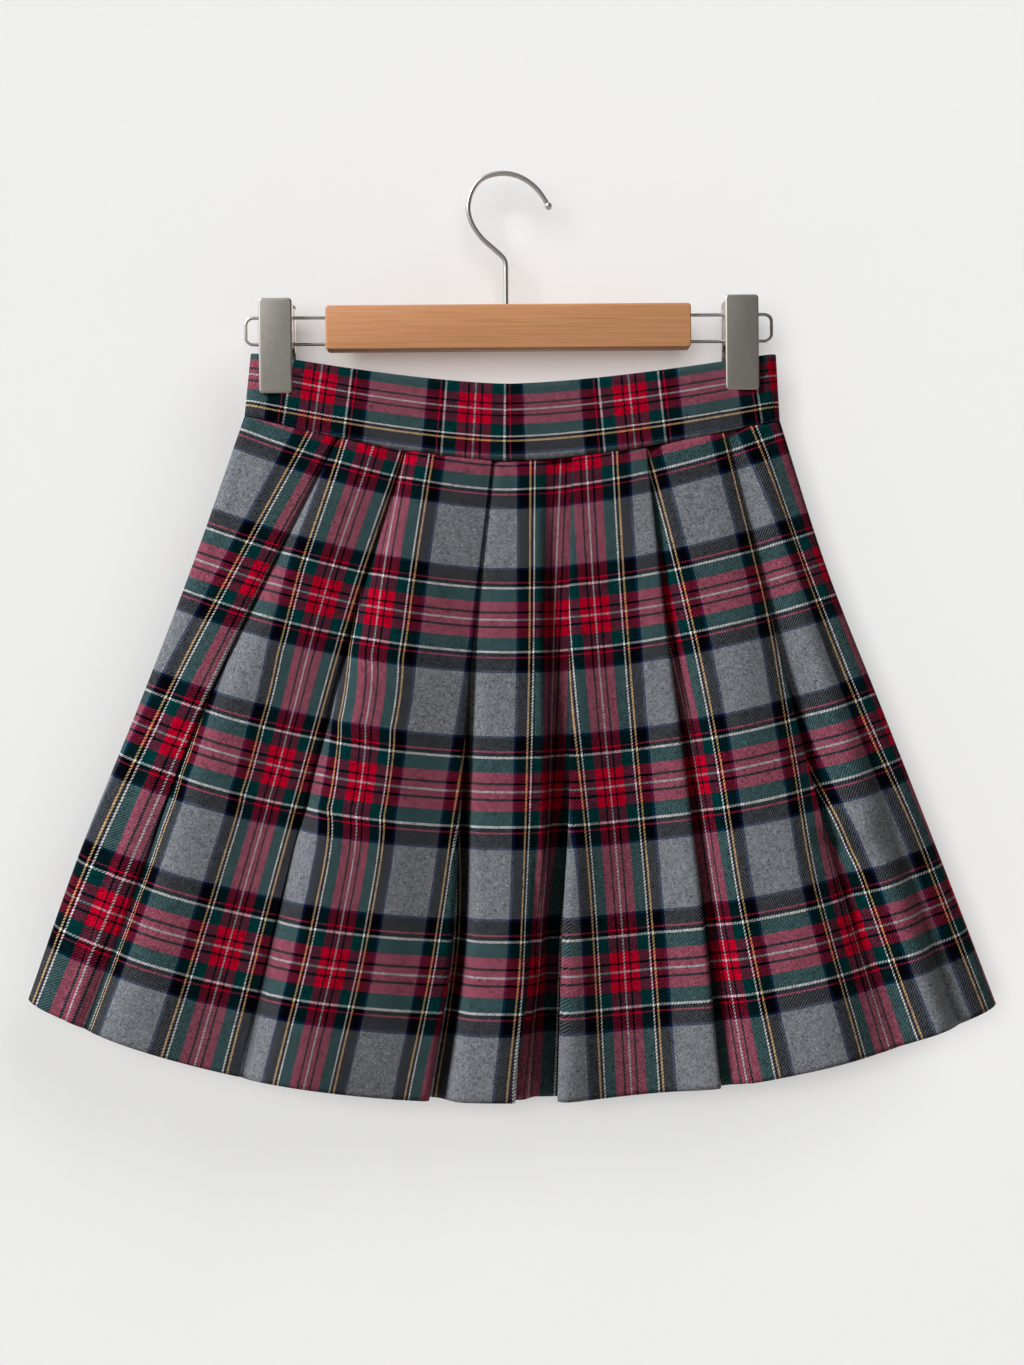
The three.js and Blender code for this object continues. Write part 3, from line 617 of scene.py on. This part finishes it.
def makeTartan(name):
    material, nodes, links, shader = newMaterial(name)
    uv = nodes.new("ShaderNodeUVMap")
    uv.uv_map = "sett"
    place = objectPlace(nodes)
    split = nodes.new("ShaderNodeSeparateXYZ")
    links.new(uv.outputs[0], split.inputs[0])

    def wandering(axis, seed):
        shift = nodes.new("ShaderNodeMapping")
        shift.inputs["Location"].default_value = (seed, seed / 2, 0)
        links.new(place, shift.inputs[0])
        drift = noiseTexture(nodes, links, shift.outputs[0], weave["wanderScale"], detail=1)
        centred = mathNode(nodes, links, "SUBTRACT", drift, 0.5)
        scaled = mathNode(nodes, links, "MULTIPLY", centred, weave["wander"] * 2)
        return mathNode(nodes, links, "ADD", split.outputs[axis], scaled)

    warp = wandering(0, weave["warpSeed"])
    weft = wandering(1, weave["weftSeed"])
    warpColour = settRamp(nodes, links, warp, warpSett)
    weftColour = settRamp(nodes, links, weft, weftSett)

    # 2/2 twill: each thread passes over two and under two, a step further on each row
    warpScaled = mathNode(nodes, links, "MULTIPLY", split.outputs[0], weave["warpThreads"])
    weftScaled = mathNode(nodes, links, "MULTIPLY", split.outputs[1], weave["weftThreads"])
    warpThread = mathNode(nodes, links, "FLOOR", warpScaled)
    weftThread = mathNode(nodes, links, "FLOOR", weftScaled)
    order = mathNode(nodes, links, "ADD", warpThread, weftThread)
    place4 = mathNode(nodes, links, "FLOORED_MODULO", order, 4)
    over = mathNode(nodes, links, "LESS_THAN", place4, 2)
    side = mathNode(nodes, links, "MULTIPLY_ADD", over, 2, -1)
    # smooth bright line yarns sit proud and read as rows of dots; the rest blends
    bright = nodes.new("ShaderNodeRGBToBW")
    links.new(warpColour, bright.inputs[0])
    past = mathNode(nodes, links, "SUBTRACT", bright.outputs[0], weave["brightFrom"])
    proud = mathNode(nodes, links, "MULTIPLY", past, weave["brightGain"])
    proud.node.use_clamp = True
    relief = mathNode(nodes, links, "MULTIPLY_ADD", proud, weave["lineRelief"], weave["relief"])
    cover = mathNode(nodes, links, "MULTIPLY_ADD", side, relief, 0.5)
    # the two yarns are mixed in a gamma space, so dark ones count for more: this is painted shade
    # between the crossing threads, and it darkens every mixed cell
    seen = []
    for colour in (weftColour, warpColour):
        gamma = nodes.new("ShaderNodeGamma")
        gamma.inputs["Gamma"].default_value = 1 / weave["shadedMixing"]
        links.new(colour, gamma.inputs["Color"])
        seen.append(gamma.outputs[0])
    cloth = nodes.new("ShaderNodeMix")
    cloth.data_type = "RGBA"
    links.new(cover, cloth.inputs["Factor"])
    links.new(seen[0], cloth.inputs["A"])
    links.new(seen[1], cloth.inputs["B"])
    # where two unlike yarns share a cell, its colour is dulled and it is darkened with painted
    # shade between the threads
    apart = nodes.new("ShaderNodeVectorMath")
    apart.operation = "DISTANCE"
    links.new(seen[0], apart.inputs[0])
    links.new(seen[1], apart.inputs[1])
    dullAndShade = nodes.new("ShaderNodeHueSaturation")
    links.new(cloth.outputs["Result"], dullAndShade.inputs["Color"])
    for loss, socket in ((weave["dulling"], "Saturation"), (weave["crossingShade"], "Value")):
        kept = mathNode(nodes, links, "MULTIPLY_ADD", apart.outputs["Value"], -loss, 1)
        links.new(kept, dullAndShade.inputs[socket])
    back = nodes.new("ShaderNodeGamma")
    back.inputs["Gamma"].default_value = weave["shadedMixing"]
    links.new(dullAndShade.outputs["Color"], back.inputs["Color"])

    # brushed nap: fine uneven fibres that lighten and darken the yarn
    nap = noiseTexture(nodes, links, place, weave["napScale"], detail=1, twist=weave["napTwist"])
    cloud = noiseTexture(nodes, links, place, weave["cloudScale"], detail=1)
    soft = mathNode(nodes, links, "MULTIPLY_ADD", cloud, weave["cloud"],
                    1 - (weave["cloud"] + weave["nap"]) / 2)
    level = mathNode(nodes, links, "MULTIPLY_ADD", nap, weave["nap"], soft)
    shade = nodes.new("ShaderNodeMix")
    shade.data_type = "RGBA"
    shade.blend_type = "MULTIPLY"
    shade.inputs["Factor"].default_value = 1
    links.new(back.outputs[0], shade.inputs["A"])
    links.new(level, shade.inputs["B"])
    links.new(shade.outputs["Result"], shader.inputs["Base Color"])

    height = mathNode(nodes, links, "MULTIPLY_ADD", over, weave["rib"], nap)
    bump = nodes.new("ShaderNodeBump")
    bump.inputs["Strength"].default_value = weave["bump"]
    bump.inputs["Distance"].default_value = weave["bumpDepth"] * mm
    links.new(height, bump.inputs["Height"])
    links.new(bump.outputs[0], shader.inputs["Normal"])
    shader.inputs["Roughness"].default_value = weave["roughness"]
    shader.inputs["Sheen Weight"].default_value = weave["sheen"]
    shader.inputs["Sheen Roughness"].default_value = weave["sheenRoughness"]
    shader.inputs["Specular IOR Level"].default_value = weave["specular"]
    return material


beech = {
    "stretch": (7, 60, 330), "grain": 2.2, "detail": 6, "twist": 0.6, "roughness": 0.45,
    "dark": linear(213, 145, 97), "darkTo": 0.32, "light": linear(232, 166, 117), "lightFrom": 0.68,
}


def makeWood():
    material, nodes, links, shader = newMaterial("beechLacquer")
    stretch = nodes.new("ShaderNodeMapping")
    stretch.inputs["Scale"].default_value = beech["stretch"]
    links.new(objectPlace(nodes), stretch.inputs[0])
    grain = noiseTexture(nodes, links, stretch.outputs[0], beech["grain"], beech["detail"],
                         beech["twist"])
    ramp = nodes.new("ShaderNodeValToRGB")
    ramp.color_ramp.elements[0].position = beech["darkTo"]
    ramp.color_ramp.elements[0].color = beech["dark"]
    ramp.color_ramp.elements[1].position = beech["lightFrom"]
    ramp.color_ramp.elements[1].color = beech["light"]
    links.new(grain, ramp.inputs[0])
    links.new(ramp.outputs[0], shader.inputs["Base Color"])
    shader.inputs["Roughness"].default_value = beech["roughness"]
    return material


# spread: by how much the roughness varies; grain: how finely
finishes = {
    "wireNickel": {"tone": (0.7, 0.675, 0.64, 1), "metallic": 1, "roughness": 0.4,
                   "spread": 0.16, "grain": 700},
    "plateNickel": {"tone": (0.5, 0.455, 0.405, 1), "metallic": 1, "roughness": 0.52,
                    "spread": 0.16, "grain": 700},
    "padRubber": {"tone": linear(42, 42, 44), "metallic": 0, "roughness": 0.7,
                  "spread": 0.2, "grain": 1500},
}


def makeFinish(name):
    finish = finishes[name]
    material, nodes, links, shader = newMaterial(name)
    grain = noiseTexture(nodes, links, objectPlace(nodes), finish["grain"])
    rough = mathNode(nodes, links, "MULTIPLY_ADD", grain, finish["spread"],
                     finish["roughness"] - finish["spread"] / 2)
    links.new(rough, shader.inputs["Roughness"])
    shader.inputs["Base Color"].default_value = finish["tone"]
    shader.inputs["Metallic"].default_value = finish["metallic"]
    return material


def freshPiece(name):
    piece = bpy.context.active_object
    piece.name = piece.data.name = name
    bpy.ops.object.transform_apply(location=True, rotation=True, scale=True)
    return piece


def addBlock(name, low, high):
    selectOnly()
    middle = [(a + b) / 2 * mm for a, b in zip(low, high)]
    size = [(b - a) * mm for a, b in zip(low, high)]
    bpy.ops.mesh.primitive_cube_add(size=1, location=middle, scale=size)
    return freshPiece(name)


def pick(piece, kind, test):
    # selects the edges or faces whose middle and direction pass the test, in edit mode
    bpy.ops.mesh.select_mode(type=kind)
    bpy.ops.mesh.select_all(action="DESELECT")
    mesh = bmesh.from_edit_mesh(piece.data)
    for item in (mesh.edges if kind == "EDGE" else mesh.faces):
        if kind == "EDGE":
            a, b = (v.co for v in item.verts)
            item.select_set(test((a + b) / 2 / mm, (b - a).normalized()))
        else:
            item.select_set(test(item.calc_center_median() / mm, item.normal))
    mesh.select_flush_mode()
    bmesh.update_edit_mesh(piece.data)


def roundOff(piece, width, segments=3, angle=35):
    bevel = piece.modifiers.new("edges", "BEVEL")
    bevel.width = width * mm
    bevel.segments = segments
    bevel.limit_method = "ANGLE"
    bevel.angle_limit = math.radians(angle)
    applyModifiers(piece)
    smoothByAngle(piece)


def smoothByAngle(piece, angle=40):
    selectOnly(piece)
    bpy.ops.object.shade_smooth_by_angle(angle=math.radians(angle))
    piece.select_set(False)


def joinPieces(name, pieces):
    selectOnly(*pieces)
    bpy.ops.object.join()
    pieces[0].name = pieces[0].data.name = name
    return pieces[0]


def drawWire(name, route, thickness, sides):
    # a round end is added, then drawn out from point to point and turned to face the way on
    points = [Vector((x * mm, 0, z * mm)) for x, z in route]
    ways = []
    for i in range(len(points)):
        step = points[min(i + 1, len(points) - 1)] - points[max(i - 1, 0)]
        ways.append(math.atan2(step.z, step.x))
    selectOnly()
    bpy.ops.mesh.primitive_circle_add(vertices=sides, radius=thickness / 2 * mm,
                                      fill_type="NGON", location=points[0],
                                      rotation=(0, math.pi / 2 - ways[0], 0))
    piece = freshPiece(name)
    bpy.ops.object.mode_set(mode="EDIT")
    bpy.ops.mesh.select_all(action="SELECT")
    for i in range(1, len(points)):
        bpy.ops.mesh.extrude_region_move(
            TRANSFORM_OT_translate={"value": points[i] - points[i - 1]})
        turn = (ways[i] - ways[i - 1] + math.pi) % (2 * math.pi) - math.pi
        bpy.ops.transform.rotate(value=turn, orient_axis="Y", orient_type="GLOBAL",
                                 center_override=points[i])
    bpy.ops.mesh.select_all(action="SELECT")
    bpy.ops.mesh.normals_make_consistent(inside=False)
    bpy.ops.object.mode_set(mode="OBJECT")
    smoothByAngle(piece)
    return piece


def smoothRoute(points, steps):
    # a curve through the points, cut into short steps
    route = []
    for i in range(len(points) - 1):
        before, a = points[max(i - 1, 0)], points[i]
        b, after = points[i + 1], points[min(i + 2, len(points) - 1)]
        for k in range(steps):
            s = k / steps
            route.append(tuple(
                0.5 * (2 * a[n] + (b[n] - before[n]) * s
                       + (2 * before[n] - 5 * a[n] + 4 * b[n] - after[n]) * s * s
                       + (3 * a[n] - before[n] - 3 * b[n] + after[n]) * s ** 3)
                for n in (0, 1)))
    return route + [points[-1]]


# The clip hanger: a wooden bar, a wire hook, a wire loop at each end with a clip on it.

barForm = {"left": -118.6, "right": 118, "top": -84.6, "height": 28.7, "depth": 14,
           "corner": 2.4, "edge": 0.9}


def makeBar():
    bar = barForm
    piece = addBlock("woodBar", (bar["left"], -bar["depth"] / 2, bar["top"] - bar["height"]),
                     (bar["right"], bar["depth"] / 2, bar["top"]))
    bpy.ops.object.mode_set(mode="EDIT")
    pick(piece, "EDGE", lambda at, way: abs(way.y) > 0.9)
    bpy.ops.mesh.bevel(offset=bar["corner"] * mm, segments=5)
    bpy.ops.object.mode_set(mode="OBJECT")
    roundOff(piece, bar["edge"])
    return piece


hookForm = {
    "wire": 3.5, "sides": 16, "steps": 5, "tip": 5.2, "tipReach": 0.6,
    "route": [(26.2, -19.4), (20.6, -10.6), (12.7, -3.4), (2.9, 0.9), (-7.7, 1.2),
              (-17.2, -2.4), (-23.3, -10.4), (-25.7, -20.9), (-23.3, -30.9),
              (-17.2, -40.1), (-9, -47.7), (-3.2, -53.2), (-1.6, -57.5)],
    "shank": -1.5, "shankDown": [-63, -72], "sunk": 13.7,
}


def makeHook():
    hook = hookForm
    down = hook["shankDown"] + [barForm["top"] - hook["sunk"]]
    points = hook["route"] + [(hook["shank"], z) for z in down]
    wire = drawWire("wireHook", smoothRoute(points, hook["steps"]), hook["wire"], hook["sides"])
    (endX, endZ), (nextX, nextZ) = hook["route"][:2]
    reach = hook["tipReach"] / math.dist((endX, endZ), (nextX, nextZ))
    selectOnly()
    bpy.ops.mesh.primitive_uv_sphere_add(
        segments=20, ring_count=12, radius=hook["tip"] / 2 * mm,
        location=((endX + (endX - nextX) * reach) * mm, 0, (endZ + (endZ - nextZ) * reach) * mm))
    tip = freshPiece("wireTip")
    bpy.ops.object.shade_smooth()
    return joinPieces("wireHook", [wire, tip])


railForm = {"wire": 2.3, "sides": 14, "outer": 172, "top": -91.4, "drop": 17.2,
            "bend": 4.6, "bendSteps": 8, "lead": 6, "socket": 11.5}


def makeRail(name, side):
    rail = railForm
    inner = abs(barForm["left"] if side < 0 else barForm["right"]) - rail["socket"]
    outer = rail["outer"] - rail["wire"] / 2
    bend, steps, lead = rail["bend"], rail["bendSteps"], rail["lead"]
    low = rail["top"] - rail["drop"]
    route = [(inner, rail["top"]), (outer - bend - lead, rail["top"])]
    for i in range(steps + 1):
        a = math.pi / 2 * (1 - i / steps)
        route.append((outer - bend + bend * math.cos(a), rail["top"] - bend + bend * math.sin(a)))
    for i in range(steps + 1):
        a = -math.pi / 2 * i / steps
        route.append((outer - bend + bend * math.cos(a), low + bend + bend * math.sin(a)))
    route += [(outer - bend - lead, low), (inner, low)]
    return drawWire(name, [(side * x, z) for x, z in route], rail["wire"], rail["sides"])


clipForm = {
    "middle": 150.3, "width": 21.4, "top": -80.6, "height": 61.4, "corner": 2.4,
    "sheet": 1.2, "front": 10.7, "rim": 0.9, "raised": 0.45, "edge": 0.22,
    "earTop": -84, "earBottom": -113, "earRound": 6, "earEdge": 0.2, "earPast": 0.5,
}


def makeClipPlate(name, side, facing):
    # facing is -1 for the jaw in front of the band and 1 for the one behind it
    clip = clipForm
    x0 = side * clip["middle"] - clip["width"] / 2
    x1 = x0 + clip["width"]
    inside = facing * clip["front"]
    face = facing * (clip["front"] + clip["sheet"] - clip["raised"])
    plate = addBlock(name, (x0, min(face, inside), clip["top"] - clip["height"]),
                     (x1, max(face, inside), clip["top"]))
    bpy.ops.object.mode_set(mode="EDIT")
    pick(plate, "EDGE", lambda at, way: abs(way.y) > 0.9)
    bpy.ops.mesh.bevel(offset=clip["corner"] * mm, segments=5)
    pick(plate, "FACE", lambda at, way: way.y * facing > 0.9)
    bpy.ops.mesh.inset(thickness=clip["rim"] * mm)  # the pressed rim round the face
    bpy.ops.transform.translate(value=(0, facing * clip["raised"] * mm, 0))
    bpy.ops.object.mode_set(mode="OBJECT")
    roundOff(plate, clip["edge"], segments=2, angle=20)
    ears = []
    for end in (-1, 1):
        edge = side * clip["middle"] + end * clip["width"] / 2
        back = facing * (railForm["wire"] / 2 + clip["earPast"])
        ear = addBlock("ear", (min(edge, edge - end * clip["sheet"]), min(back, inside),
                               clip["earBottom"]),
                       (max(edge, edge - end * clip["sheet"]), max(back, inside),
                        clip["earTop"]))
        bpy.ops.object.mode_set(mode="EDIT")
        pick(ear, "EDGE", lambda at, way: abs(way.x) > 0.9 and abs(at.y - back) < 0.1)
        bpy.ops.mesh.bevel(offset=clip["earRound"] * mm, segments=6)
        bpy.ops.object.mode_set(mode="OBJECT")
        roundOff(ear, clip["earEdge"], segments=2)
        ears.append(ear)
    return joinPieces(name, [plate] + ears)


springForm = {"coil": 2.55, "wire": 0.5, "sides": 8, "turns": 9, "turnSteps": 20, "pitch": 1.55}


def makeSpring(name, side):
    spring = springForm
    selectOnly()
    bpy.ops.mesh.primitive_circle_add(vertices=spring["sides"], radius=spring["wire"] * mm,
                                      location=(0, 0, spring["coil"] * mm),
                                      rotation=(math.pi / 2, 0, 0))
    piece = freshPiece(name)
    coil = piece.modifiers.new("coil", "SCREW")
    coil.axis = "X"
    coil.screw_offset = spring["pitch"] * mm
    coil.iterations = spring["turns"]
    coil.steps = coil.render_steps = spring["turnSteps"]
    coil.use_normal_calculate = True
    applyModifiers(piece)
    start = side * clipForm["middle"] - spring["turns"] * spring["pitch"] / 2
    piece.location = (start * mm, 0, (railForm["top"] - railForm["drop"]) * mm)
    selectOnly(piece)
    bpy.ops.object.transform_apply(location=True, rotation=True, scale=True)
    bpy.ops.object.mode_set(mode="EDIT")
    bpy.ops.mesh.select_all(action="SELECT")
    bpy.ops.mesh.fill_holes(sides=spring["sides"])
    bpy.ops.mesh.normals_make_consistent(inside=False)
    bpy.ops.object.mode_set(mode="OBJECT")
    smoothByAngle(piece)
    return piece


hangerTilt = 0.42  # degrees, right end up


def makeHanger():
    tilt = Matrix.Rotation(math.radians(-hangerTilt), 4, "Y")
    pieces = [
        (makeBar(), wood, "beech", ["hanger_bar"]),
        (makeHook(), wireNickel, "nickel_wire", ["hanger_hook", "hook_tip"]),
    ]
    for end, side in (("left", -1), ("right", 1)):
        capital = end.capitalize()
        pieces += [
            (makeRail("rail" + capital, side), wireNickel, "nickel_wire", ["rail_" + end]),
            (makeSpring("spring" + capital, side), wireNickel, "nickel_wire",
             [f"clip_{end}_spring"]),
            (makeClipPlate("clipFront" + capital, side, -1), plateNickel, "clip_plate",
             [f"clip_{end}_front"]),
            (makeClipPlate("clipBack" + capital, side, 1), plateNickel, "clip_plate",
             [f"clip_{end}_back"]),
        ]
    for piece, material, slot, stands in pieces:
        piece.data.transform(tilt)
        finishPiece(piece, material, stands)


# Camera, light and what stands round the object.

# in metres
studio = {
    "distance": 1.2, "height": -0.3294, "aside": 0.0029, "frameTall": 0.88725, "sensor": 36,
    "wall": 0.052, "floor": -1.02, "wide": 4, "deep": 6, "tall": 3, "aim": (0, 0, -0.32),
    "wallTone": linear(238, 238, 238), "floorTone": linear(225, 223, 219),
    "ambient": 0.07, "ambientTone": (1, 0.99, 0.975, 1),
}
paint = {"grain": 130, "detail": 4, "bump": 0.12, "bumpDepth": 1, "roughness": 0.85}
lamps = {
    "skylight": {"place": (3.2, -4, 3.4), "size": (3.4, 3.4), "power": 108, "colour": (1, 1, 1)},
    "roomFill": {"place": (-0.7, -5, 0.1), "size": (3, 2.2), "power": 190, "colour": (1, 1, 1)},
    "window": {"place": (-3.85, -2.95, 3.15), "size": (1.3, 1.3), "power": 408,
               "colour": (0.93, 0.97, 1)},
    "behind": {"place": (0.9, 4.2, 1.6), "size": (2.4, 2.4), "power": 42, "colour": (1, 1, 1)},
}


def makeCamera():
    lens = bpy.data.cameras.new("camera")
    lens.sensor_width = studio["sensor"]
    lens.lens = studio["sensor"] * studio["distance"] / studio["frameTall"]
    camera = bpy.data.objects.new("camera", lens)
    camera.location = (studio["aside"], -studio["distance"], studio["height"])
    camera.rotation_euler = (math.pi / 2, 0, 0)
    bpy.context.collection.objects.link(camera)
    bpy.context.scene.camera = camera


def makeLight(name, lit, blockers=None):
    form = lamps[name]
    light = bpy.data.lights.new(name, "AREA")
    light.shape = "RECTANGLE"
    light.size, light.size_y = form["size"]
    light.energy = form["power"]
    light.color = form["colour"]
    lamp = bpy.data.objects.new(name, light)
    lamp.location = form["place"]
    aim = Vector(studio["aim"]) - Vector(form["place"])
    lamp.rotation_euler = aim.to_track_quat("-Z", "Y").to_euler()
    bpy.context.collection.objects.link(lamp)
    lamp.light_linking.receiver_collection = lit
    lamp.light_linking.blocker_collection = blockers


def makePlane(name, corners, material):
    mesh = bpy.data.meshes.new(name)
    mesh.from_pydata(corners, [], [(0, 1, 2, 3)])
    plane = bpy.data.objects.new(name, mesh)
    bpy.context.collection.objects.link(plane)
    plane.data.materials.append(material)
    return plane


def makePaint(name, tone, oneSided):
    material, nodes, links, shader = newMaterial(name)
    plaster = noiseTexture(nodes, links, objectPlace(nodes), paint["grain"], paint["detail"])
    bump = nodes.new("ShaderNodeBump")
    bump.inputs["Strength"].default_value = paint["bump"]
    bump.inputs["Distance"].default_value = paint["bumpDepth"] * mm
    links.new(plaster, bump.inputs["Height"])
    links.new(bump.outputs[0], shader.inputs["Normal"])
    shader.inputs["Base Color"].default_value = tone
    shader.inputs["Roughness"].default_value = paint["roughness"]
    if oneSided:  # seen from behind it isn't there
        side = nodes.new("ShaderNodeNewGeometry")
        clear = nodes.new("ShaderNodeBsdfTransparent")
        blend = nodes.new("ShaderNodeMixShader")
        links.new(side.outputs["Backfacing"], blend.inputs[0])
        links.new(shader.outputs[0], blend.inputs[1])
        links.new(clear.outputs[0], blend.inputs[2])
        links.new(blend.outputs[0], nodes["Material Output"].inputs["Surface"])
    return material


def makeSurroundings():
    wall, floor = studio["wall"], studio["floor"]
    wide, deep, tall = studio["wide"], studio["deep"], studio["tall"]
    room = [
        makePlane("wall", [(-wide, wall, floor), (wide, wall, floor), (wide, wall, tall),
                           (-wide, wall, tall)],
                  makePaint("wallPaint", studio["wallTone"], oneSided=True)),
        makePlane("floor", [(-wide, -deep, floor), (wide, -deep, floor), (wide, deep, floor),
                            (-wide, deep, floor)],
                  makePaint("floorPaint", studio["floorTone"], oneSided=False)),
    ]
    world = bpy.data.worlds.new("softRoom")
    world.use_nodes = True
    background = world.node_tree.nodes["Background"]
    background.inputs["Color"].default_value = studio["ambientTone"]
    background.inputs["Strength"].default_value = studio["ambient"]
    bpy.context.scene.world = world
    for plane in room:
        roomLit.objects.link(plane)
    wallLit.objects.link(room[0])
    makeLight("skylight", roomLit)
    makeLight("roomFill", wallLit)
    makeLight("window", objectLit)
    makeLight("behind", objectLit, blockers=objectLit)  # the wall casts no shadow of it


def finishPiece(piece, material, nodes):
    piece.data.materials.clear()
    piece.data.materials.append(material)
    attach(piece, "root")
    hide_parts(*nodes)
    objectLit.objects.link(piece)


bpy.context.scene.view_settings.view_transform = "Standard"
# what each lamp lights: the room, its wall alone, or the skirt with its hanger
roomLit = bpy.data.collections.new("roomLit")
wallLit = bpy.data.collections.new("wallLit")
objectLit = bpy.data.collections.new("objectLit")
makeCamera()
makeSurroundings()
print("camera and surroundings made")

tartan = makeTartan("tartanFlannel")
skirtFront = makeSkirtHalf("skirtFront", frontPleats, frontPanels, frontSett, "frontDepth",
                           frontCreases, -1)
skirtBack = makeSkirtHalf("skirtBack", backPleats, backPanels, backSett, "backDepth",
                          backCreases, 1)
bandFront = makeBandHalf("bandFront", "frontDepth", -1)
bandBack = makeBandHalf("bandBack", "backDepth", 1)
finishPiece(skirtFront, tartan, ["skirt_front"])
finishPiece(skirtBack, tartan, ["skirt_back"])
finishPiece(bandFront, tartan, ["waistband_front"])
finishPiece(bandBack, tartan, ["waistband_back"])
print("skirt and band made")

wood = makeWood()
wireNickel = makeFinish("wireNickel")
plateNickel = makeFinish("plateNickel")
rubber = makeFinish("padRubber")
makeHanger()
for end in ("left", "right"):
    for face in ("front", "back"):
        pad = bpy.data.objects[f"clip_{end}_pad_{face}"]
        pad.data.materials.clear()
        pad.data.materials.append(rubber)
        objectLit.objects.link(pad)
print("hanger finished")
